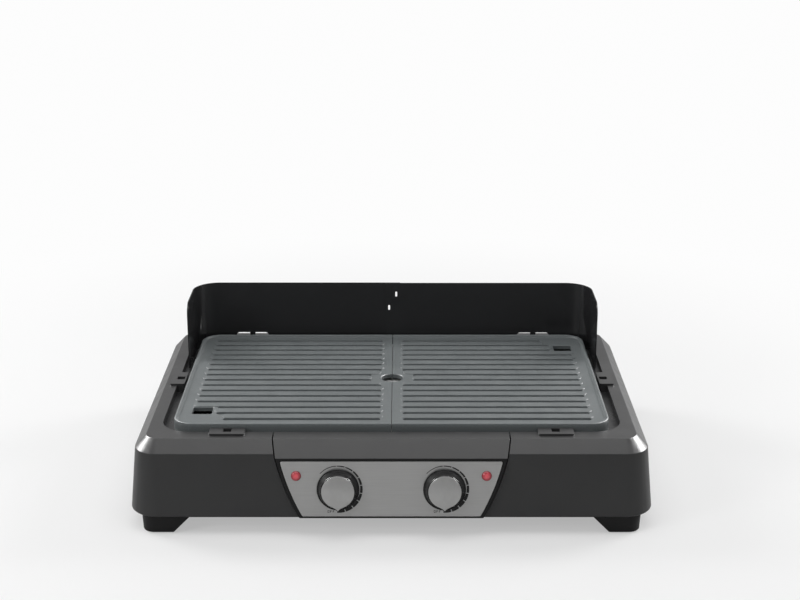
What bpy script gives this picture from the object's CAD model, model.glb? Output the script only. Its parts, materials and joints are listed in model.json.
"""Looks of a countertop electric grill with cast plates and a two-piece splash shield.

Laid out as an add-on: sizes and colours are properties, and each piece is made by an operator.
Metres, +Z up, front towards -Y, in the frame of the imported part.
"""

import json
import math

import bmesh
import bpy
from bpy.props import FloatProperty, FloatVectorProperty, IntProperty, PointerProperty
from mathutils import Matrix, Vector


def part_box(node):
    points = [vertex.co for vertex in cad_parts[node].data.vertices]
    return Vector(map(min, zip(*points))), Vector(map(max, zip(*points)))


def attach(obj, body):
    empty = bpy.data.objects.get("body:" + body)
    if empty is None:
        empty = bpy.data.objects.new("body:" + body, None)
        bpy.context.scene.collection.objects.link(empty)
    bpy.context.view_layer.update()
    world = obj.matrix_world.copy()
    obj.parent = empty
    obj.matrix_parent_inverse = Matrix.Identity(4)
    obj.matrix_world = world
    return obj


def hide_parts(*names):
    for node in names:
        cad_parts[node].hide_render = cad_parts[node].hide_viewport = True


bl_info = {
    "name": "Countertop grill",
    "version": (1, 0, 0),
    "blender": (4, 5, 0),
    "location": "3D View > Sidebar > Grill",
    "description": "Builds the looks of a countertop electric grill",
    "category": "Object",
}

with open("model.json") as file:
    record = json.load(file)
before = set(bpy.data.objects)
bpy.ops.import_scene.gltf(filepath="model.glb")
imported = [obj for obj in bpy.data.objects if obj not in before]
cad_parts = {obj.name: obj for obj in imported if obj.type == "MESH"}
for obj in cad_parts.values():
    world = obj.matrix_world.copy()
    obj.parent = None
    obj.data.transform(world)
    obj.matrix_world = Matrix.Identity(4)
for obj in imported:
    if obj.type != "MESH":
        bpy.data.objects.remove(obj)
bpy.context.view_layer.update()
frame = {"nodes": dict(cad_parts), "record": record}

MM = 0.001
LEAN = math.radians(7.0)  # backward lean of the control panel
SIDES = {"left": -1, "right": 1}  # and the way each lies along X


# ------------------------------------------------------------------ properties


class GrillSizes(bpy.types.PropertyGroup):
    """Sizes of the details that the looks add to the solids."""

    edge: FloatProperty(
        name="Moulded edge", description="Radius that softens the edges of mouldings",
        default=0.5 * MM, min=0.0, max=1.0 * MM, unit="LENGTH")
    cast_edge: FloatProperty(
        name="Cast edge", description="Radius that softens the edges of castings",
        default=0.7 * MM, min=0.0, max=1.2 * MM, unit="LENGTH")
    sheet_edge: FloatProperty(
        name="Sheet edge", description="Radius of the rolled edge of the enamelled sheet",
        default=0.35 * MM, min=0.0, max=0.55 * MM, unit="LENGTH")
    knob_radius: FloatProperty(
        name="Knob foot", description="Radius of a knob's foot",
        default=22.1 * MM, min=18 * MM, max=22.4 * MM, unit="LENGTH")
    knob_front: FloatProperty(
        name="Knob front", description="Radius of a knob's front",
        default=17.7 * MM, min=14 * MM, max=18 * MM, unit="LENGTH")
    cap_radius: FloatProperty(
        name="Knob cap", description="Radius of the steel cap on a knob",
        default=16.9 * MM, min=13 * MM, max=17.3 * MM, unit="LENGTH")
    dial_radius: FloatProperty(
        name="Dial", description="Outer radius of the dashes round a knob",
        default=25.3 * MM, min=23 * MM, max=27 * MM, unit="LENGTH")
    dial_thin: FloatProperty(
        name="Thinnest dash", description="Width of the dial's first dash",
        default=0.9 * MM, min=0.2 * MM, max=2 * MM, unit="LENGTH")
    dial_thick: FloatProperty(
        name="Thickest dash", description="Width of the dial's last dash",
        default=4.3 * MM, min=0.5 * MM, max=4.5 * MM, unit="LENGTH")
    rib_width: FloatProperty(
        name="Rib width", description="Width of a rib at its foot",
        default=11.4 * MM, min=9 * MM, max=15 * MM, unit="LENGTH")
    rib_height: FloatProperty(
        name="Rib height", description="Height of a rib's shoulder above the plate's margins",
        default=0.7 * MM, min=0.3 * MM, max=2 * MM, unit="LENGTH")
    rib_shoulder: FloatProperty(
        name="Rib shoulder", description="Radius of a rib's shoulders",
        default=0.6 * MM, min=0.3 * MM, max=2 * MM, unit="LENGTH")
    groove_depth: FloatProperty(
        name="Groove depth", description="Depth of a groove under the plate's margins",
        default=2.6 * MM, min=1 * MM, max=3 * MM, unit="LENGTH")
    dial_dashes: IntProperty(
        name="Dashes", description="Number of dashes on a dial", default=9, min=3, max=16)


class GrillColours(bpy.types.PropertyGroup):
    """Base colours of the finishes, as linear values."""

    housing: FloatVectorProperty(
        name="Housing", description="Grey of the moulded housing", subtype="COLOR",
        default=(0.0315, 0.0315, 0.032), min=0.0, max=1.0)
    coating: FloatVectorProperty(
        name="Plate coating", description="Grey of the non-stick coating", subtype="COLOR",
        default=(0.108, 0.12, 0.1225), min=0.0, max=1.0)
    enamel: FloatVectorProperty(
        name="Shield enamel", description="Black of the splash shield", subtype="COLOR",
        default=(0.015, 0.015, 0.016), min=0.0, max=1.0)
    steel: FloatVectorProperty(
        name="Steel", description="Colour of the brushed steel", subtype="COLOR",
        default=(0.55, 0.55, 0.545), min=0.0, max=1.0)
    lamp: FloatVectorProperty(
        name="Lamp", description="Red of the lamp lenses", subtype="COLOR",
        default=(0.85, 0.12, 0.15), min=0.0, max=1.0)


# ------------------------------------------------------------------ finishes


class Finish:
    """A material under construction, with short ways to add its nodes."""

    def __init__(self, name, colour, roughness, metallic=0.0, specular=0.5):
        self.material = bpy.data.materials.new(name)
        self.material.use_nodes = True
        self.tree = self.material.node_tree
        self.shader = self.tree.nodes["Principled BSDF"]
        self.colour = tuple(colour)[:3] + (1.0,)
        self.shader.inputs["Base Color"].default_value = self.colour
        self.shader.inputs["Roughness"].default_value = roughness
        self.shader.inputs["Metallic"].default_value = metallic
        self.shader.inputs["Specular IOR Level"].default_value = specular
        self.roughness = roughness
        self.place = self.node("ShaderNodeTexCoord").outputs["Object"]

    def node(self, kind, **settings):
        made = self.tree.nodes.new(kind)
        for key, value in settings.items():
            setattr(made, key, value)
        return made

    def link(self, source, target):
        self.tree.links.new(source, target)

    def noise(self, scale, detail=3.0, roughness=0.55, stretch=(1.0, 1.0, 1.0)):
        """Noise of so many features to the metre, stretched along the axes."""
        mapping = self.node("ShaderNodeMapping")
        mapping.inputs["Scale"].default_value = stretch
        noise = self.node("ShaderNodeTexNoise")
        noise.inputs["Scale"].default_value = scale
        noise.inputs["Detail"].default_value = detail
        noise.inputs["Roughness"].default_value = roughness
        self.link(self.place, mapping.inputs["Vector"])
        self.link(mapping.outputs["Vector"], noise.inputs["Vector"])
        return noise.outputs["Fac"]

    def spread(self, value, low, high, to_low, to_high):
        """The value, from low to high, spread over to_low to to_high."""
        spread = self.node("ShaderNodeMapRange")
        for key, number in zip(("From Min", "From Max", "To Min", "To Max"), (low, high, to_low, to_high)):
            spread.inputs[key].default_value = number
        self.link(value, spread.inputs["Value"])
        return spread.outputs["Result"]

    def vary_roughness(self, value, amount):
        out = self.spread(value, 0.3, 0.7, self.roughness - amount, self.roughness + amount)
        self.link(out, self.shader.inputs["Roughness"])

    def vary_colour(self, value, amount, low=0.3, high=0.7):
        """Darken and lighten the base colour by a share of itself."""
        factor = self.spread(value, low, high, 0.0, 1.0)
        mix = self.node("ShaderNodeMix", data_type="RGBA")
        mix.inputs[6].default_value = tuple(c * (1 - amount) for c in self.colour[:3]) + (1.0,)
        mix.inputs[7].default_value = tuple(min(1, c * (1 + amount)) for c in self.colour[:3]) + (1.0,)
        self.link(factor, mix.inputs[0])
        self.link(mix.outputs[2], self.shader.inputs["Base Color"])
        return mix

    def bump(self, value, depth, strength=1.0, under=None):
        """Relief of so many metres."""
        bump = self.node("ShaderNodeBump")
        bump.inputs["Strength"].default_value = strength
        bump.inputs["Distance"].default_value = depth
        self.link(value, bump.inputs["Height"])
        if under is not None:
            self.link(under, bump.inputs["Normal"])
        self.link(bump.outputs["Normal"], self.shader.inputs["Normal"])
        return bump.outputs["Normal"]


def finishes():
    """All materials by name, made once."""
    colours = bpy.context.scene.grill_colours
    made = {}

    def begin(name, colour, roughness, **more):
        f = Finish(name, colour, roughness, **more)
        made[name] = f.material
        return f

    f = begin("housing_plastic", colours.housing, 0.34)
    grain = f.noise(2600, 2.0)
    f.vary_roughness(f.noise(55, 4.0), 0.05)
    f.vary_colour(f.noise(30, 4.0), 0.05)
    f.bump(grain, 0.00003, 0.5)

    f = begin("brushed_steel", colours.steel, 0.42, metallic=0.85)
    lines = f.noise(900, 3.0, 0.7, (0.02, 1.0, 1.0))
    f.vary_roughness(lines, 0.08)
    f.vary_colour(lines, 0.05)
    f.bump(lines, 0.000012, 0.6)

    f = begin("cap_steel", colours.steel, 0.38, metallic=0.85)
    f.vary_roughness(f.noise(400, 4.0), 0.05)
    f.vary_colour(f.noise(150, 4.0), 0.03)
    f.bump(f.noise(1800, 3.0), 0.00001, 0.5)

    f = begin("zinc_steel", (0.5, 0.51, 0.53), 0.38, metallic=0.9)
    f.vary_roughness(f.noise(120, 5.0), 0.1)
    f.vary_colour(f.noise(70, 4.0), 0.08)

    f = begin("dull_steel", (0.72, 0.72, 0.71), 0.6, metallic=0.3)
    f.vary_roughness(f.noise(120, 4.0), 0.06)
    f.vary_colour(f.noise(90, 4.0), 0.06)

    f = begin("foot_plastic", (0.006, 0.006, 0.0062), 0.55, specular=0.35)
    f.vary_roughness(f.noise(80, 4.0), 0.06)
    f.bump(f.noise(2600, 2.0), 0.00003, 0.5)

    f = begin("pad_rubber", (0.03, 0.03, 0.03), 0.85)
    f.bump(f.noise(1500, 3.0), 0.00005, 0.6)
    f.vary_colour(f.noise(200, 3.0), 0.2)

    f = begin("enamelled_pan", (0.02, 0.02, 0.021), 0.35)
    f.vary_roughness(f.noise(60, 5.0), 0.12)
    f.vary_colour(f.noise(40, 5.0), 0.25)
    f.bump(f.noise(300, 3.0), 0.00005, 0.3)

    f = begin("element_sheath", (0.05, 0.047, 0.044), 0.5, metallic=0.4)
    f.vary_colour(f.noise(60, 5.0), 0.35)
    f.vary_roughness(f.noise(90, 4.0), 0.12)

    f = begin("knob_plastic", (0.01, 0.01, 0.0105), 0.24, specular=0.35)
    f.vary_roughness(f.noise(150, 4.0), 0.04)
    f.bump(f.noise(2000, 2.0), 0.00001, 0.4)

    f = begin("lamp_red", colours.lamp, 0.18)
    f.shader.inputs["Coat Weight"].default_value = 0.6
    f.shader.inputs["Coat Roughness"].default_value = 0.05
    turned = f.node("ShaderNodeSeparateXYZ")
    f.link(f.node("ShaderNodeUVMap", uv_map="turned").outputs["UV"], turned.inputs["Vector"])
    edge = f.node("ShaderNodeMix", data_type="RGBA")
    edge.inputs[7].default_value = (0.24, 0.008, 0.016, 1)
    f.link(f.vary_colour(f.noise(700, 2.0), 0.12).outputs[2], edge.inputs[6])
    f.link(f.spread(turned.outputs["X"], 0.35, 1.0, 0.0, 1.0), edge.inputs[0])
    f.link(edge.outputs[2], f.shader.inputs["Base Color"])

    f = begin("wire_sleeve", (0.62, 0.6, 0.54), 0.6)
    f.vary_colour(f.noise(200, 4.0), 0.12)
    f.bump(f.noise(1800, 2.0), 0.00004, 0.5)

    f = begin("coated_cast", colours.coating, 0.48, specular=0.4)
    speckle = f.noise(1500, 2.0, 0.6)
    f.vary_colour(speckle, 0.16, 0.35, 0.65)
    f.vary_roughness(f.noise(45, 5.0), 0.06)
    f.bump(f.noise(1100, 4.0), 0.00006, 0.5)

    f = begin("shield_enamel", colours.enamel, 0.2)
    f.vary_roughness(f.noise(25, 5.0), 0.05)
    f.bump(f.noise(160, 3.0), 0.00004, 0.25)

    f = begin("dial_ink", (0.006, 0.006, 0.006), 0.55)
    f.vary_roughness(f.noise(300, 3.0), 0.08)
    return made


# ------------------------------------------------------------------ mesh helpers


def add_piece(name, mesh, body, slot, material, *nodes):
    """A finished mesh becomes a piece that rides on a body and may stand for nodes."""
    piece = bpy.data.objects.new(name, mesh)
    bpy.context.scene.collection.objects.link(piece)
    mesh.materials.clear()
    mesh.materials.append(material)
    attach(piece, body)
    if nodes:
        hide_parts(*nodes)
    return piece


def merged_copy(node, name):
    """A welded copy of a solid's mesh, with its flat faces made whole again."""
    mesh = frame["nodes"][node].data.copy()
    mesh.name = name
    bm = bmesh.new()
    bm.from_mesh(mesh)
    bmesh.ops.remove_doubles(bm, verts=bm.verts, dist=0.00001)
    bmesh.ops.dissolve_limit(
        bm, angle_limit=math.radians(0.6), verts=bm.verts, edges=bm.edges,
        delimit={"NORMAL"})
    bmesh.ops.recalc_face_normals(bm, faces=bm.faces)
    for face in bm.faces:
        face.smooth = True
    bm.to_mesh(mesh)
    bm.free()
    if "custom_normal" in mesh.attributes:
        mesh.attributes.remove(mesh.attributes["custom_normal"])
    return mesh


def soften_edges(piece, width, angle=28.0, segments=2):
    """A rounded edge wherever two faces meet at more than the angle."""
    bevel = piece.modifiers.new("soft edges", "BEVEL")
    bevel.width = width
    bevel.segments = segments
    bevel.limit_method = "ANGLE"
    bevel.angle_limit = math.radians(angle)
    bevel.use_clamp_overlap = True
    even = piece.modifiers.new("even shading", "WEIGHTED_NORMAL")
    even.weight = 100
    even.keep_sharp = True


def dress(node, body, slot, material, width):
    """A softened copy of a solid takes its place."""
    mesh = merged_copy(node, node + "_looks")
    piece = add_piece(node + "_looks", mesh, body, slot, material, node)
    soften_edges(piece, width)
    return piece


def sizes():
    return bpy.context.scene.grill_sizes


def lathe(profile, name, steps=96):
    """A closed mesh of revolution about Z; the profile runs from one end of the axis to the other."""
    bm = bmesh.new()
    rings = []
    for radius, height in profile:
        if radius < 1e-7:
            rings.append([bm.verts.new((0, 0, height))])
        else:
            turn = [2 * math.pi * i / steps for i in range(steps)]
            rings.append([bm.verts.new((radius * math.cos(a), radius * math.sin(a), height)) for a in turn])
    for low, high in zip(rings, rings[1:]):
        for i in range(steps):
            j = (i + 1) % steps
            corners = [low[i % len(low)], low[j % len(low)], high[j % len(high)], high[i % len(high)]]
            bm.faces.new(list(dict.fromkeys(corners)))
    bmesh.ops.recalc_face_normals(bm, faces=bm.faces)
    return to_mesh(bm, name)


def map_radius(mesh, reach):
    """A UV map whose U grows from the middle of a turned mesh to its edge."""
    layer = mesh.uv_layers.new(name="turned")
    for loop in mesh.loops:
        place = mesh.vertices[loop.vertex_index].co
        layer.data[loop.index].uv = (place.xy.length / reach, place.z / reach)


def to_mesh(bm, name, angle=30.0):
    """A smooth mesh with its sharp edges kept."""
    for face in bm.faces:
        face.smooth = True
    mesh = bpy.data.meshes.new(name)
    bm.to_mesh(mesh)
    bm.free()
    mesh.set_sharp_from_angle(angle=math.radians(angle))
    return mesh


def joined(meshes, name):
    """One mesh of several."""
    bm = bmesh.new()
    for mesh in meshes:
        bm.from_mesh(mesh)
        bpy.data.meshes.remove(mesh)
    return to_mesh(bm, name)


def prism(outline, low, high, name, bevel=0.0):
    """A flat outline between two heights, its upper edge softened by insets."""
    bm = bmesh.new()
    layers = [(low, 0.0), (high - bevel, 0.0)]
    if bevel:
        layers += [(high - bevel * 0.3, bevel * 0.3), (high, bevel)]
    count = len(outline)
    rings = []
    for height, inset in layers:
        ring = []
        for i, point in enumerate(outline):
            before, after = Vector(outline[i - 1]), Vector(outline[(i + 1) % count])
            along = (after - before).normalized()
            inward = Vector((-along.y, along.x)) * inset
            ring.append(bm.verts.new((point[0] + inward.x, point[1] + inward.y, height)))
        rings.append(ring)
    for a, b in zip(rings, rings[1:]):
        for i in range(count):
            j = (i + 1) % count
            bm.faces.new((a[i], a[j], b[j], b[i]))
    bm.faces.new(list(reversed(rings[0])))
    bm.faces.new(rings[-1])
    bmesh.ops.triangulate(bm, faces=[f for f in bm.faces if len(f.verts) > 4])
    return to_mesh(bm, name)


def teardrop(radius, reach, tip=0.7 * MM, steps=96):
    """Outline of a disc with a small beak at 6 o'clock, counter-clockwise."""
    spread = math.radians(24)
    start = -math.pi / 2 + spread
    sweep = 2 * math.pi - 2 * spread
    turn = [start + sweep * i / steps for i in range(steps + 1)]
    outline = [(radius * math.cos(a), radius * math.sin(a)) for a in turn]
    foot = Vector(outline[-1])
    waist = Vector((-tip * 2.4, -radius - (reach - radius) * 0.3))
    end = Vector((-tip, -reach + tip))
    left = [foot * (1 - t) ** 2 + waist * 2 * t * (1 - t) + end * t ** 2
            for t in (i / 7 for i in range(1, 8))]
    outline += [tuple(p) for p in left]
    outline += [(-tip * math.cos(math.pi * i / 6), -reach + tip - tip * math.sin(math.pi * i / 6))
                for i in range(1, 6)]
    outline += [(-p.x, p.y) for p in reversed(left)]
    return outline


def panel_frame(joint):
    """Places things on the control panel at a knob: +Z out of the panel, +Y up it."""
    for found in frame["record"]["behaviour"]["joints"]:
        if found["name"] == joint:
            place = Matrix.Translation(Vector(found["pos_m"]))
            return place @ Matrix.Rotation(math.pi / 2 - LEAN, 4, "X")
    raise ValueError("no joint " + joint)


class GeometryTree:
    """A Geometry Nodes tree under construction."""

    def __init__(self, name):
        self.tree = bpy.data.node_groups.new(name, "GeometryNodeTree")
        self.tree.is_modifier = True
        self.keys = {}
        self.tree.interface.new_socket(name="Geometry", in_out="INPUT", socket_type="NodeSocketGeometry")
        self.tree.interface.new_socket(name="Geometry", in_out="OUTPUT", socket_type="NodeSocketGeometry")
        self.inputs = self.tree.nodes.new("NodeGroupInput")

    def take(self, name, kind):
        """A named input and its socket."""
        item = self.tree.interface.new_socket(name=name, in_out="INPUT", socket_type="NodeSocket" + kind)
        self.keys[name] = item.identifier
        return self.inputs.outputs[name]

    def node(self, kind, *values, **settings):
        """A node; a value is set or linked on the input socket of that order."""
        made = self.tree.nodes.new(kind)
        for key, value in settings.items():
            setattr(made, key, value)
        for socket, value in zip([i for i in made.inputs if i.enabled], values):
            self.put(value, socket)
        return made

    def put(self, value, socket):
        if isinstance(value, bpy.types.NodeSocket):
            self.tree.links.new(value, socket)
        elif value is not None:
            socket.default_value = value

    def math(self, operation, *values):
        return self.node("ShaderNodeMath", *values, operation=operation).outputs[0]

    def end(self, geometry, material):
        """Realize what is instanced, give it its material and close the tree."""
        real = self.node("GeometryNodeRealizeInstances", geometry)
        painted = self.node("GeometryNodeSetMaterial")
        self.put(real.outputs[0], painted.inputs["Geometry"])
        self.put(material, painted.inputs["Material"])
        out = self.tree.nodes.new("NodeGroupOutput")
        self.put(painted.outputs[0], out.inputs[0])

    def grow(self, mesh, name, values):
        """Run the tree on a mesh and return the plain mesh that comes out."""
        seed = bpy.data.objects.new(name, mesh)
        bpy.context.scene.collection.objects.link(seed)
        modifier = seed.modifiers.new(name, "NODES")
        modifier.node_group = self.tree
        for key, value in values.items():
            modifier[self.keys[key]] = value
        grown = bpy.data.meshes.new_from_object(seed.evaluated_get(bpy.context.evaluated_depsgraph_get()))
        grown.name = name
        bpy.data.objects.remove(seed)
        bpy.data.meshes.remove(mesh)
        return grown


FINISHES = {}


def finish(name):
    if not FINISHES:
        FINISHES.update(finishes())
    return FINISHES[name]


# ------------------------------------------------------------------ operators


class GRILL_OT_inner_works(bpy.types.Operator):
    """Give every solid its finish; the solids that no piece replaces keep it."""

    bl_idname = "grill.inner_works"
    bl_label = "Inner works"

    def execute(self, context):
        for part in frame["record"]["subparts"]:
            solid = frame["nodes"][part["node"]]
            solid.data.materials.clear()
            solid.data.materials.append(finish(part["material_slot"]))
        return {"FINISHED"}


class GRILL_OT_mouldings(bpy.types.Operator):
    """Make the housing, the control module and the feet."""

    bl_idname = "grill.mouldings"
    bl_label = "Mouldings"

    to_front, to_side = 0.9, 0.5  # least part of a unit normal for a face of the module to be darker

    def execute(self, context):
        edge = sizes().edge
        dress("housing", "base", "housing_plastic", finish("housing_plastic"), edge)
        module = dress("control_housing", "base", "housing_plastic", finish("housing_plastic"), edge)
        module.data.materials.append(finish("foot_plastic"))
        for face in module.data.polygons:  # the border round the panel and the seams
            if face.normal.y < -self.to_front or abs(face.normal.x) > self.to_side:
                face.material_index = 1
        for end in ("front", "rear"):
            for side in SIDES:
                dress("foot_%s_%s" % (end, side), "base", "foot_plastic", finish("foot_plastic"), edge)
        return {"FINISHED"}


class GRILL_OT_plates(bpy.types.Operator):
    """Make the two cast grill plates: trays with a raised border and grooves, and their ribs."""

    bl_idname = "grill.plates"
    bl_label = "Grill plates"

    ribs = 15
    pitch = 16.6 * MM
    outer = 230.0 * MM  # from the middle of the object to a plate's outer edge
    seam = 0.3 * MM  # half of the gap between the plates
    half_depth = 143.4 * MM
    corner = 22.0 * MM  # plan radius
    floor = 104.6 * MM  # height of the margins
    under = 99.9 * MM  # height of the underside
    skirt = 93.3 * MM  # height of the skirt's lower edge
    top = 107.1 * MM  # height of the border
    drain = (16.6 * MM, 21.5 * MM, 19.6 * MM)  # in from the outer edge, length, width
    drain_row = 6  # pitches from the middle to the drain hole
    drain_corner = 1.5 * MM
    drain_bevel = 0.5 * MM
    finger = 12.3 * MM  # radius of the finger hole
    bevel = 0.6 * MM  # round the finger hole
    rib_start = 15.6 * MM  # from the outer edge to a rib
    drain_clear = 1.6 * MM  # from the drain hole to the rib beside it
    drain_step = 9 * MM  # how much further in the foremost rib starts
    rib_stops = (22.3 * MM, 12.0 * MM, 9 * MM)  # from the seam: at the finger hole, next to that, others
    rib_root = 0.3 * MM  # how far a rib reaches into the floor
    crown = (0.2 * MM, 0.27 * MM)  # rise over a rib's shoulders, halfway and in its middle
    groove_stops = (23.2 * MM, 11.8 * MM)  # from the seam: at the finger hole, others
    groove_inset = 3.0 * MM  # how much further in than a rib its groove starts
    groove_gap = 0.05 * MM  # between a rib's foot and a groove's wall
    groove_draft = 0.3 * MM  # how much narrower a groove's bottom is, on each side

    def execute(self, context):
        low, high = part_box("grill_plate_left")
        self.middle = (low.y + high.y) / 2
        tree = self.rib_tree()
        section = self.rib_prism()
        nose = self.rib_nose()
        ribs = tree.grow(self.rib_seeds(), "ribs", {
            "Prism": section, "Nose": nose, "Material": finish("coated_cast")})
        for helper in (section, nose):
            bpy.data.objects.remove(helper)
        plate = joined([self.tray(), ribs], "plate_left")
        turned = plate.copy()
        turned.transform(Matrix.Rotation(math.pi, 4, "Z"))
        for side, mesh in (("left", plate), ("right", turned)):
            mesh.transform(Matrix.Translation((0, self.middle, 0)))
            mesh.name = "plate_" + side
            node = "grill_plate_" + side
            add_piece("plate_" + side, mesh, node, "coated_cast", finish("coated_cast"), node)
        return {"FINISHED"}

    def rib_section(self):
        """Half of a rib's section, from under the floor up to its crowned middle."""
        s = sizes()
        half, high, shoulder = s.rib_width / 2, s.rib_height, s.rib_shoulder
        flat = half - shoulder
        points = [(half, -self.rib_root)]
        for i in range(8):
            a = math.pi / 2 * i / 7
            points.append((flat + shoulder * math.cos(a), high - shoulder + shoulder * math.sin(a)))
        points += [(flat / 2, high + self.crown[0]), (0.0, high + self.crown[1])]
        return points

    def rib_prism(self):
        """A unit length of rib, to be stretched."""
        half = self.rib_section()
        whole = [(-x, z) for x, z in half] + list(reversed(half[:-1]))
        bm = bmesh.new()
        ends = [[bm.verts.new((x, y, z)) for y, z in whole] for x in (-1.0, 1.0)]
        for i in range(len(whole) - 1):
            bm.faces.new((ends[0][i], ends[0][i + 1], ends[1][i + 1], ends[1][i]))
        return self.helper(bm, "rib length")

    def rib_nose(self):
        """The rounded end of a rib, towards +X."""
        steps = 14
        half = self.rib_section()
        bm = bmesh.new()
        rows = []
        for radius, height in half[:-1]:
            turn = [math.pi * (i / steps - 0.5) for i in range(steps + 1)]
            rows.append([bm.verts.new((radius * math.cos(a), radius * math.sin(a), height)) for a in turn])
        peak = bm.verts.new((0, 0, half[-1][1]))
        for low, high in zip(rows, rows[1:]):
            for i in range(steps):
                bm.faces.new((low[i], low[i + 1], high[i + 1], high[i]))
        for i in range(steps):
            bm.faces.new((rows[-1][i], rows[-1][i + 1], peak))
        return self.helper(bm, "rib nose")

    def helper(self, bm, name):
        mesh = bpy.data.meshes.new(name)
        bm.to_mesh(mesh)
        bm.free()
        made = bpy.data.objects.new(name, mesh)
        bpy.context.scene.collection.objects.link(made)
        return made

    def rib_ends(self, i):
        """The tips of rib i, across the object."""
        start = self.rib_start
        if i <= 1:
            start = self.drain[0] + self.drain[1] + self.drain_clear
        if i == 0:
            start += self.drain_step
        stop = self.rib_stops[min(abs(i - self.ribs // 2), 2)]
        return -self.outer + start, -stop

    def rib_seeds(self):
        """One point in the middle of each rib, with half of its straight length as its reach."""
        half = sizes().rib_width / 2
        points, reaches = [], []
        for i in range(self.ribs):
            left, right = self.rib_ends(i)
            points.append(((left + right) / 2, (i - (self.ribs - 1) / 2) * self.pitch, self.floor))
            reaches.append((right - left) / 2 - half)
        mesh = bpy.data.meshes.new("rib seeds")
        mesh.from_pydata(points, [], [])
        mesh.attributes.new("reach", "FLOAT", "POINT").data.foreach_set("value", reaches)
        return mesh

    def groove(self, i, grow=0.0):
        """Outline of the groove in front of rib i, round at its ends, counter-clockwise."""
        radius = (self.pitch - sizes().rib_width) / 2 - self.groove_gap + grow
        shorter = 1 if i == 2 else min(i, self.ribs - 1)  # the rib whose start the groove follows
        left = self.rib_ends(shorter)[0] + self.groove_inset + radius
        beside_hole = i - self.ribs // 2 in (0, 1)
        right = -self.groove_stops[0 if beside_hole else 1] - radius
        y = (i - self.ribs / 2) * self.pitch
        points = []
        for centre, start in ((right, -90), (left, 90)):
            for k in range(9):
                a = math.radians(start + 22.5 * k)
                points.append((centre + radius * math.cos(a), y + radius * math.sin(a)))
        return points

    def rib_tree(self):
        """A stretched prism and two noses at each point."""
        t = GeometryTree("cast ribs")
        prism_in = t.take("Prism", "Object")
        nose_in = t.take("Nose", "Object")
        material = t.take("Material", "Material")
        reach = t.node("GeometryNodeInputNamedAttribute", data_type="FLOAT")
        reach.inputs["Name"].default_value = "reach"
        reach = reach.outputs["Attribute"]
        lengths = t.node("GeometryNodeObjectInfo", prism_in).outputs["Geometry"]
        noses = t.node("GeometryNodeObjectInfo", nose_in).outputs["Geometry"]
        points = t.inputs.outputs["Geometry"]
        body = t.node("GeometryNodeInstanceOnPoints")
        t.put(points, body.inputs["Points"])
        t.put(lengths, body.inputs["Instance"])
        t.put(t.node("ShaderNodeCombineXYZ", reach, 1.0, 1.0).outputs[0], body.inputs["Scale"])
        made = [body]
        for sign in (1, -1):
            offset = t.node("ShaderNodeCombineXYZ", t.math("MULTIPLY", reach, float(sign)), 0.0, 0.0)
            moved = t.node("GeometryNodeSetPosition")
            t.put(points, moved.inputs["Geometry"])
            t.put(offset.outputs[0], moved.inputs["Offset"])
            end = t.node("GeometryNodeInstanceOnPoints")
            t.put(moved.outputs[0], end.inputs["Points"])
            t.put(noses, end.inputs["Instance"])
            end.inputs["Rotation"].default_value = (0, 0, 0 if sign > 0 else math.pi)
            made.append(end)
        join = t.node("GeometryNodeJoinGeometry")
        for item in made:
            t.put(item.outputs[0], join.inputs[0])
        real = t.node("GeometryNodeRealizeInstances", join.outputs[0])
        welded = t.node("GeometryNodeMergeByDistance", real.outputs[0])
        welded.inputs["Distance"].default_value = 0.00001
        t.end(welded.outputs[0], material)
        return t

    def border_path(self, inset):
        """The tray's outline, so far in from its edge: front seam, outer corners, rear seam."""
        r = max(self.corner - inset, 0.5 * MM)
        cx, cy = -self.outer + self.corner, self.half_depth - self.corner
        points = [(-self.seam, -self.half_depth + inset)]
        for centre_y, start in ((-cy, -90), (cy, -180)):
            for i in range(17):
                a = math.radians(start - 90 * i / 16)
                points.append((cx + r * math.cos(a), centre_y + r * math.sin(a)))
        points.append((-self.seam, self.half_depth - inset))
        return points

    def tray(self):
        """The floor with its border and skirt, and its drain and finger holes."""
        section = [  # in from the edge, height: up the outside, over the border and down to the floor
            (2.6 * MM, self.skirt), (0.5 * MM, self.skirt), (0.0, self.skirt + 0.5 * MM),
            (0.0, self.floor - 2 * MM), (0.45 * MM, self.top - 1.3 * MM), (0.75 * MM, self.top - 0.5 * MM),
            (1.3 * MM, self.top - 0.12 * MM), (2.1 * MM, self.top), (2.9 * MM, self.top - 0.15 * MM),
            (3.45 * MM, self.top - 0.6 * MM), (3.75 * MM, self.top - 1.3 * MM),
            (4.3 * MM, self.floor + 1.4 * MM),
            (4.7 * MM, self.floor + 0.5 * MM), (5.4 * MM, self.floor + 0.1 * MM), (6.2 * MM, self.floor),
        ]
        bm = bmesh.new()
        rings = [[bm.verts.new((x, y, z)) for x, y in self.border_path(inset)] for inset, z in section]
        for a, b in zip(rings, rings[1:]):
            for i in range(len(a) - 1):
                bm.faces.new((a[i], a[i + 1], b[i + 1], b[i]))
        inner = rings[-1]
        lower = [bm.verts.new((v.co.x, v.co.y, self.under)) for v in inner]
        skirt = rings[0]
        mid = [bm.verts.new((v.co.x, v.co.y, self.under)) for v in skirt]
        for i in range(len(skirt) - 1):
            bm.faces.new((mid[i], mid[i + 1], skirt[i + 1], skirt[i]))
            bm.faces.new((lower[i], lower[i + 1], mid[i + 1], mid[i]))
        self.sheet(bm, inner, self.floor, self.bevel)
        self.sheet(bm, lower, self.under, 0.0)
        self.walls(bm)
        for end in (0, -1):
            bm.faces.new([ring[end] for ring in rings] + [lower[end], mid[end]])
            self.seam_face(bm, inner[end].co.y)
        bmesh.ops.remove_doubles(bm, verts=bm.verts, dist=0.000005)
        bmesh.ops.recalc_face_normals(bm, faces=bm.faces)
        bmesh.ops.triangulate(bm, faces=[f for f in bm.faces if len(f.verts) > 4])
        return to_mesh(bm, "tray")

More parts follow.
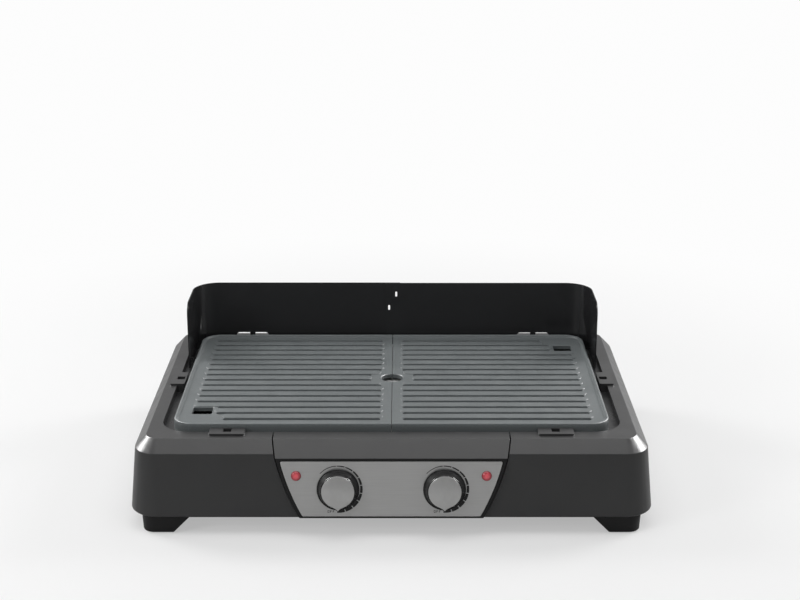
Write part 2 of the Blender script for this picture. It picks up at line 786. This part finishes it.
    def finger_arc(self, radius):
        """The half of the finger hole in this plate, from the front to the rear."""
        first = math.asin(self.seam / radius)
        sweep = math.pi - 2 * first
        return [(-radius * math.sin(first + sweep * i / 24), -radius * math.cos(first + sweep * i / 24))
                for i in range(25)]

    def drain_rect(self, grow):
        """The drain hole's corners, rounded, counter-clockwise."""
        inset, length, width = self.drain
        y = -self.drain_row * self.pitch
        x0, x1 = -self.outer + inset - grow, -self.outer + inset + length + grow
        y0, y1 = y - width / 2 - grow, y + width / 2 + grow
        r = self.drain_corner
        corners = ((x1 - r, y1 - r, 0), (x0 + r, y1 - r, 90), (x0 + r, y0 + r, 180), (x1 - r, y0 + r, 270))
        points = []
        for cx, cy, start in corners:
            for i in range(6):
                a = math.radians(start + 18 * i)
                points.append((cx + r * math.cos(a), cy + r * math.sin(a)))
        return points

    def sheet(self, bm, edge, height, bevel):
        """Fill between the border's inner edge, the seam and the two holes."""
        grow = self.drain_bevel if bevel else 0.0
        arc = [bm.verts.new((x, y, height)) for x, y in self.finger_arc(self.finger + bevel)]
        outline = list(edge) + list(reversed(arc))
        edges = [bm.edges.get(pair) or bm.edges.new(pair)
                 for pair in zip(outline, outline[1:] + outline[:1])]
        holes = [self.drain_rect(grow)]
        if bevel:
            holes += [self.groove(i) for i in range(self.ribs + 1)]
        for points in holes:
            hole = [bm.verts.new((x, y, height)) for x, y in points]
            edges += [bm.edges.new((a, b)) for a, b in zip(hole, hole[1:] + hole[:1])]
        bmesh.ops.triangle_fill(bm, use_beauty=True, use_dissolve=False, edges=edges)

    def seam_face(self, bm, edge):
        """The floor's end at the seam, from the border to the finger hole."""
        side = math.copysign(1, edge)
        wide, narrow = self.finger + self.bevel, self.finger
        corners = [
            (edge, self.floor), (side * wide, self.floor), (side * narrow, self.floor - self.bevel),
            (side * narrow, self.under), (edge, self.under)]
        bm.faces.new([bm.verts.new((-self.seam, y, z)) for y, z in corners])

    def walls(self, bm):
        """The walls of the two holes and of the grooves, with the grooves' bottoms."""
        def strip(low, high, closed):
            a = [bm.verts.new(p) for p in low]
            b = [bm.verts.new(p) for p in high]
            count = len(a) if closed else len(a) - 1
            for i in range(count):
                j = (i + 1) % len(a)
                bm.faces.new((a[i], a[j], b[j], b[i]))

        def at(points, height):
            return [(x, y, height) for x, y in points]

        deep = self.floor - sizes().groove_depth
        for i in range(self.ribs + 1):
            bottom = at(self.groove(i, -self.groove_draft), deep)
            strip(bottom, at(self.groove(i), self.floor), True)
            bm.faces.new([bm.verts.new(p) for p in bottom])
        narrow, wide = self.finger_arc(self.finger), self.finger_arc(self.finger + self.bevel)
        strip(at(narrow, self.under), at(narrow, self.floor - self.bevel), False)
        strip(at(narrow, self.floor - self.bevel), at(wide, self.floor), False)
        narrow, wide = self.drain_rect(0), self.drain_rect(self.drain_bevel)
        strip(at(narrow, self.under), at(narrow, self.floor - self.drain_bevel), True)
        strip(at(narrow, self.floor - self.drain_bevel), at(wide, self.floor), True)


class GRILL_OT_seam_bar(bpy.types.Operator):
    """Make the steel bar under the seam of the plates, seen through the finger hole."""

    bl_idname = "grill.seam_bar"
    bl_label = "Seam bar"

    half = 13 * MM  # of its width
    under, top = 93.2 * MM, 96.2 * MM
    edge = 0.4 * MM
    end_gap = 5 * MM  # from the plates' front and rear edges
    notch = (-4 * MM, -14 * MM, 8 * MM)  # inner end, front and rear of the room for a finger

    def execute(self, context):
        low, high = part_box("grill_plate_left")
        reach = (high.y - low.y) / 2 - self.end_gap
        half = self.half
        neck, front, rear = self.notch
        outline = (
            (-half, -reach), (half, -reach), (half, front), (neck, front),
            (neck, rear), (half, rear), (half, reach), (-half, reach))
        bar = prism(outline, self.under, self.top, "seam_bar", self.edge)
        bar.transform(Matrix.Translation((0, (low.y + high.y) / 2, 0)))
        add_piece("seam_bar", bar, "base", "zinc_steel", finish("dull_steel"))
        return {"FINISHED"}


class GRILL_OT_shield(bpy.types.Operator):
    """Make the two halves of the splash shield."""

    bl_idname = "grill.shield"
    bl_label = "Splash shield"

    def execute(self, context):
        for side in SIDES:
            node = "shield_" + side
            dress(node, node, "shield_enamel", finish("shield_enamel"), sizes().sheet_edge)
        return {"FINISHED"}


class GRILL_OT_knobs(bpy.types.Operator):
    """Make the two knobs with their steel caps."""

    bl_idname = "grill.knobs"
    bl_label = "Knobs"

    face = 10.3 * MM  # from the panel to the plastic's front
    cap = 11.2 * MM  # from the panel to the cap's front
    beak_reach, cap_reach = 20.9 * MM, 20.0 * MM  # from the axis to the tips of the beaks
    beak_depth = 2.2 * MM
    edge = 0.3 * MM

    def execute(self, context):
        s = sizes()
        foot, front, face = s.knob_radius, s.knob_front, self.face
        profile = [
            (0, 0.6 * MM), (foot - 1.6 * MM, 0.6 * MM), (foot - 0.5 * MM, 0.65 * MM),
            (foot - 0.1 * MM, 0.95 * MM), (foot, 1.4 * MM), (foot - 0.1 * MM, 1.9 * MM),
            (foot - 0.5 * MM, 2.3 * MM), (foot - 1.1 * MM, 2.45 * MM), (foot - 1.5 * MM, 2.7 * MM),
            (foot - 1.75 * MM, 3.2 * MM),
        ]
        low = profile[-1]
        for i in range(1, 7):
            t = i / 6
            sag = 0.25 * MM * math.sin(math.pi * t)
            profile.append((low[0] + (front + 0.2 * MM - low[0]) * t - sag,
                            low[1] + (face - 1.0 * MM - low[1]) * t))
        profile += [(front - 0.1 * MM, face - 0.45 * MM), (front - 0.45 * MM, face - 0.1 * MM),
                    (front - 0.9 * MM, face), (0, face)]
        for side in SIDES:
            place = panel_frame("knob_%s_turn" % side)
            skirt = lathe(profile, "skirt")
            beak = prism(teardrop(front - 0.6 * MM, self.beak_reach), face - self.beak_depth, face,
                         "beak", self.edge)
            knob = joined([skirt, beak], "knob_skirt_" + side)
            knob.transform(place)
            add_piece("knob_skirt_" + side, knob, "knob_" + side, "knob_plastic",
                      finish("knob_plastic"), "knob_" + side)
            disc = prism(teardrop(s.cap_radius, self.cap_reach), face, self.cap,
                         "knob_disc_" + side, self.edge)
            disc.transform(place)
            add_piece("knob_disc_" + side, disc, "knob_" + side, "brushed_steel",
                      finish("cap_steel"), "knob_cap_" + side)
        return {"FINISHED"}


class GRILL_OT_dials(bpy.types.Operator):
    """Print the dashes round each knob."""

    bl_idname = "grill.dials"
    bl_label = "Dials"

    start = math.radians(-3.7)  # of the first dash, clockwise from the top
    pitch, gap = math.radians(20.8), math.radians(2.0)
    lead = (math.radians(-48), math.radians(-5))  # the thin line before the first dash
    ink = 0.06 * MM  # height of the print over the panel
    word_place = (-11.0 * MM, -25.2 * MM)  # lower left end of the word, from the knob's axis
    letter_height = 2.6 * MM
    letter_pitch = 5.2  # in fifths of a letter's height, as the strokes: left, low, right, high
    letters = {
        "O": ((0, 0, 0.8, 5), (2.6, 0, 3.4, 5), (0, 0, 3.4, 0.8), (0, 4.2, 3.4, 5)),
        "F": ((0, 0, 0.8, 5), (0, 4.2, 3.2, 5), (0, 2.2, 2.6, 3.0)),
    }

    def execute(self, context):
        s = sizes()
        tree = self.dash_tree()
        for side in SIDES:
            place = panel_frame("knob_%s_turn" % side)
            dashes = tree.grow(bpy.data.meshes.new("seed"), "dial_dashes_" + side, {
                "Count": s.dial_dashes, "Radius": s.dial_radius, "Thin": s.dial_thin,
                "Thick": s.dial_thick, "Material": finish("dial_ink")})
            printed = joined([dashes, self.lead_line(), self.word("OFF")], "dial_dashes_" + side)
            printed.transform(place)
            add_piece("dial_dashes_" + side, printed, "base", "knob_plastic", finish("dial_ink"))
        return {"FINISHED"}

    def lead_line(self):
        """The thin line that leads up to the first dash."""
        s = sizes()
        bm = bmesh.new()
        rows = []
        for i in range(13):
            angle = self.lead[0] + (self.lead[1] - self.lead[0]) * i / 12
            wide = s.dial_thin * (0.7 + 0.3 * i / 12)
            rows.append([bm.verts.new((r * math.sin(angle), r * math.cos(angle), self.ink))
                         for r in (s.dial_radius, s.dial_radius - wide)])
        for a, b in zip(rows, rows[1:]):
            bm.faces.new((a[0], a[1], b[1], b[0]))
        return to_mesh(bm, "lead line")

    def word(self, text):
        """Small block letters under the knob, to the left of its middle."""
        unit = self.letter_height / 5
        bm = bmesh.new()
        left, low = self.word_place
        for letter in text:
            for x0, y0, x1, y1 in self.letters[letter]:
                corners = ((x0, y0), (x1, y0), (x1, y1), (x0, y1))
                bm.faces.new([bm.verts.new((left + x * unit, low + y * unit, self.ink)) for x, y in corners])
            left += self.letter_pitch * unit
        return to_mesh(bm, "word")

    def dash_tree(self):
        """Flat dashes on an arc, each wider than the one before."""
        t = GeometryTree("dial dashes")
        count = t.take("Count", "Int")
        radius = t.take("Radius", "Float")
        thin = t.take("Thin", "Float")
        thick = t.take("Thick", "Float")
        material = t.take("Material", "Material")
        pitch = self.pitch
        length = 0.9  # of a dash before it is bent, in steps
        line = t.node("GeometryNodeMeshLine")
        t.put(count, line.inputs["Count"])
        line.inputs["Offset"].default_value = (1, 0, 0)
        dash = t.node("GeometryNodeMeshGrid", length, 1.0, 9, 2)
        placed = t.node("GeometryNodeInstanceOnPoints")
        t.put(line.outputs["Mesh"], placed.inputs["Points"])
        t.put(dash.outputs["Mesh"], placed.inputs["Instance"])
        real = t.node("GeometryNodeRealizeInstances", placed.outputs[0])
        where = t.node("ShaderNodeSeparateXYZ", t.node("GeometryNodeInputPosition").outputs[0])
        step = t.math("ROUND", where.outputs["X"])
        inside = t.math("DIVIDE", t.math("SUBTRACT", where.outputs["X"], step), length)
        turn = t.math("ADD", t.math("MULTIPLY", step, pitch), t.math("MULTIPLY", inside, pitch - self.gap))
        angle = t.math("ADD", turn, self.start + pitch / 2)
        share = t.math("DIVIDE", t.math("ADD", turn, pitch / 2), t.math("MULTIPLY", count, pitch))
        wide = t.math("ADD", thin, t.math("MULTIPLY", share, t.math("SUBTRACT", thick, thin)))
        across = t.math("MULTIPLY", t.math("ADD", where.outputs["Y"], -0.5), wide)
        reach = t.math("ADD", radius, across)
        bent = t.node("ShaderNodeCombineXYZ", t.math("MULTIPLY", reach, t.math("SINE", angle)),
                      t.math("MULTIPLY", reach, t.math("COSINE", angle)), self.ink)
        moved = t.node("GeometryNodeSetPosition")
        t.put(real.outputs[0], moved.inputs["Geometry"])
        t.put(bent.outputs[0], moved.inputs["Position"])
        t.end(moved.outputs[0], material)
        return t


class GRILL_OT_lamps(bpy.types.Operator):
    """Make the two red lamp lenses."""

    bl_idname = "grill.lamps"
    bl_label = "Lamps"

    radius, neck = 5.2 * MM, 4.3 * MM
    sunk = 0.4 * MM  # depth of the neck in the panel
    rim, rise = 0.5 * MM, 2.5 * MM  # heights of the straight rim and of the dome on it
    beside, above = 43.2 * MM, 14.2 * MM  # from the knob's axis

    def execute(self, context):
        profile = [
            (0, -self.sunk), (self.neck, -self.sunk), (self.neck, 0), (self.radius - 0.1 * MM, 0),
            (self.radius, 0.15 * MM)]
        for i in range(13):
            a = math.pi / 2 * i / 12
            profile.append((self.radius * math.cos(a), self.rim + self.rise * math.sin(a)))
        for side in SIDES:
            lens = lathe(profile, "lamp_dome_" + side, 64)
            map_radius(lens, self.radius)
            lens.transform(self.place(side))
            add_piece("lamp_dome_" + side, lens, "base", "lamp_red", finish("lamp_red"), "lamp_lens_" + side)
        return {"FINISHED"}

    def place(self, side):
        """Where a lamp stands on the panel, from the knob beside it."""
        offset = (SIDES[side] * self.beside, self.above / math.cos(LEAN), 0)
        return panel_frame("knob_%s_turn" % side) @ Matrix.Translation(offset)


class GRILL_OT_stage(bpy.types.Operator):
    """Make the floor, the lights and the camera."""

    bl_idname = "grill.stage"
    bl_label = "Stage"

    floor_reach = 6.0
    tints = (0.42, 0.7)  # grey of the paper to light, and to the camera
    glow = 0.98  # of the paper far from the object, to the camera
    glow_share = (("From Min", 0.35), ("From Max", 1.0), ("To Min", 0.43), ("To Max", 1.0))  # by distance
    sky = (0.26, 0.96)  # strength to light, and to the camera
    aim = Vector((0, 0, 0.05))  # where the lights point
    lamps = (  # name, place, size, power in watts, and whether glossy rays alone see it
        ("top", (0.0, -0.35, 1.7), (1.6, 1.2), 16, False),
        ("right", (1.45, 0.64, 1.1), (0.6, 0.8), 13, False),
        ("left", (-1.45, 0.64, 1.1), (0.6, 0.8), 15, False),
        ("front left", (-1.6, -1.25, 0.95), (0.5, 0.5), 9, False),
        ("front right", (1.7, -1.1, 0.7), (0.6, 0.6), 1.0, False),
        ("sweep", (0.0, 2.4, 1.0), (4.0, 1.4), 5, False),
        ("right shine", (1.4, 0.6, 1.05), (1.0, 0.8), 130, True),
        ("left shine", (-1.4, 0.6, 1.05), (1.0, 0.8), 82, True),
    )
    sensor, lens = 36.0, 70.02  # millimetres
    eye = (0.0089, -1.6436, 0.727)
    looks_down = math.radians(17.8)

    def execute(self, context):
        scene = context.scene
        scene.view_settings.view_transform = "Standard"
        self.floor(scene)
        self.world(scene)
        self.lights(scene)
        self.camera(scene)
        return {"FINISHED"}

    def floor(self, scene):
        mesh = bpy.data.meshes.new("floor")
        reach = self.floor_reach
        corners = [(-reach, -reach, 0), (reach, -reach, 0), (reach, reach, 0), (-reach, reach, 0)]
        mesh.from_pydata(corners, [], [(0, 1, 2, 3)])
        floor = bpy.data.objects.new("floor", mesh)
        scene.collection.objects.link(floor)
        mesh.materials.append(self.paper())

    def paper(self):
        """White paper that glows a little to the camera, and fully far from the object."""
        f = Finish("floor_paper", (0.9, 0.9, 0.9), 0.9, specular=0.1)
        seen = f.node("ShaderNodeLightPath").outputs["Is Camera Ray"]
        tint = f.node("ShaderNodeMix", data_type="RGBA")
        for socket, grey in zip((6, 7), self.tints):
            tint.inputs[socket].default_value = (grey, grey, grey, 1)
        f.link(seen, tint.inputs[0])
        f.link(tint.outputs[2], f.shader.inputs["Base Color"])
        distance = f.node("ShaderNodeVectorMath", operation="LENGTH")
        f.link(f.place, distance.inputs[0])
        far = f.node("ShaderNodeMapRange", interpolation_type="SMOOTHSTEP")
        for key, number in self.glow_share:
            far.inputs[key].default_value = number
        f.link(distance.outputs["Value"], far.inputs["Value"])
        share = f.node("ShaderNodeMath", operation="MULTIPLY")
        f.link(far.outputs["Result"], share.inputs[0])
        f.link(seen, share.inputs[1])
        glow = f.node("ShaderNodeEmission")
        glow.inputs["Color"].default_value = (self.glow, self.glow, self.glow, 1)
        mixed = f.node("ShaderNodeMixShader")
        f.link(share.outputs[0], mixed.inputs[0])
        f.link(f.shader.outputs[0], mixed.inputs[1])
        f.link(glow.outputs[0], mixed.inputs[2])
        f.link(mixed.outputs[0], f.tree.nodes["Material Output"].inputs["Surface"])
        return f.material

    def world(self, scene):
        """A white sky, stronger to the camera than as light."""
        world = bpy.data.worlds.new("studio")
        scene.world = world
        world.use_nodes = True
        tree = world.node_tree
        back = tree.nodes["Background"]
        back.inputs["Color"].default_value = (1, 1, 1, 1)
        path = tree.nodes.new("ShaderNodeLightPath")
        seen = tree.nodes.new("ShaderNodeMath")
        seen.operation = "MAXIMUM"
        strength = tree.nodes.new("ShaderNodeMapRange")
        strength.inputs["To Min"].default_value, strength.inputs["To Max"].default_value = self.sky
        tree.links.new(path.outputs["Is Camera Ray"], seen.inputs[0])
        tree.links.new(path.outputs["Is Transmission Ray"], seen.inputs[1])
        tree.links.new(seen.outputs[0], strength.inputs["Value"])
        tree.links.new(strength.outputs["Result"], back.inputs["Strength"])

    def lights(self, scene):
        """Soft lights; the shines are seen by glossy rays alone."""
        for name, place, size, power, shine in self.lamps:
            lamp = bpy.data.lights.new(name, "AREA")
            lamp.shape = "RECTANGLE"
            lamp.size, lamp.size_y = size
            lamp.energy = power
            light = bpy.data.objects.new(name, lamp)
            light.location = place
            toward = self.aim - Vector(place)
            light.rotation_euler = toward.to_track_quat("-Z", "Y").to_euler()
            light.visible_camera = False
            light.visible_diffuse = not shine
            scene.collection.objects.link(light)

    def camera(self, scene):
        data = bpy.data.cameras.new("camera")
        data.sensor_width = self.sensor
        data.lens = self.lens
        camera = bpy.data.objects.new("camera", data)
        camera.location = self.eye
        camera.rotation_euler = (math.pi / 2 - self.looks_down, 0, 0)
        scene.collection.objects.link(camera)
        scene.camera = camera


class GRILL_PT_pieces(bpy.types.Panel):
    """Lists the pieces, and the sizes and colours that shape them."""

    bl_label = "Grill"
    bl_idname = "GRILL_PT_pieces"
    bl_space_type = "VIEW_3D"
    bl_region_type = "UI"
    bl_category = "Grill"

    def draw(self, context):
        for operator in OPERATORS:
            self.layout.operator(operator.bl_idname)
        for group in (context.scene.grill_sizes, context.scene.grill_colours):
            for key in group.bl_rna.properties.keys():
                if key not in ("rna_type", "name"):
                    self.layout.prop(group, key)


OPERATORS = (
    GRILL_OT_inner_works, GRILL_OT_mouldings, GRILL_OT_plates, GRILL_OT_seam_bar, GRILL_OT_shield,
    GRILL_OT_knobs, GRILL_OT_dials, GRILL_OT_lamps, GRILL_OT_stage,
)
CLASSES = (GrillSizes, GrillColours) + OPERATORS + (GRILL_PT_pieces,)


def register():
    for cls in CLASSES:
        bpy.utils.register_class(cls)
    bpy.types.Scene.grill_sizes = PointerProperty(type=GrillSizes)
    bpy.types.Scene.grill_colours = PointerProperty(type=GrillColours)


def unregister():
    del bpy.types.Scene.grill_colours
    del bpy.types.Scene.grill_sizes
    for cls in reversed(CLASSES):
        bpy.utils.unregister_class(cls)


def main():
    register()
    bpy.ops.grill.inner_works()
    bpy.ops.grill.mouldings()
    bpy.ops.grill.plates()
    bpy.ops.grill.seam_bar()
    bpy.ops.grill.shield()
    bpy.ops.grill.knobs()
    bpy.ops.grill.dials()
    bpy.ops.grill.lamps()
    bpy.ops.grill.stage()


if __name__ == "__main__":
    main()
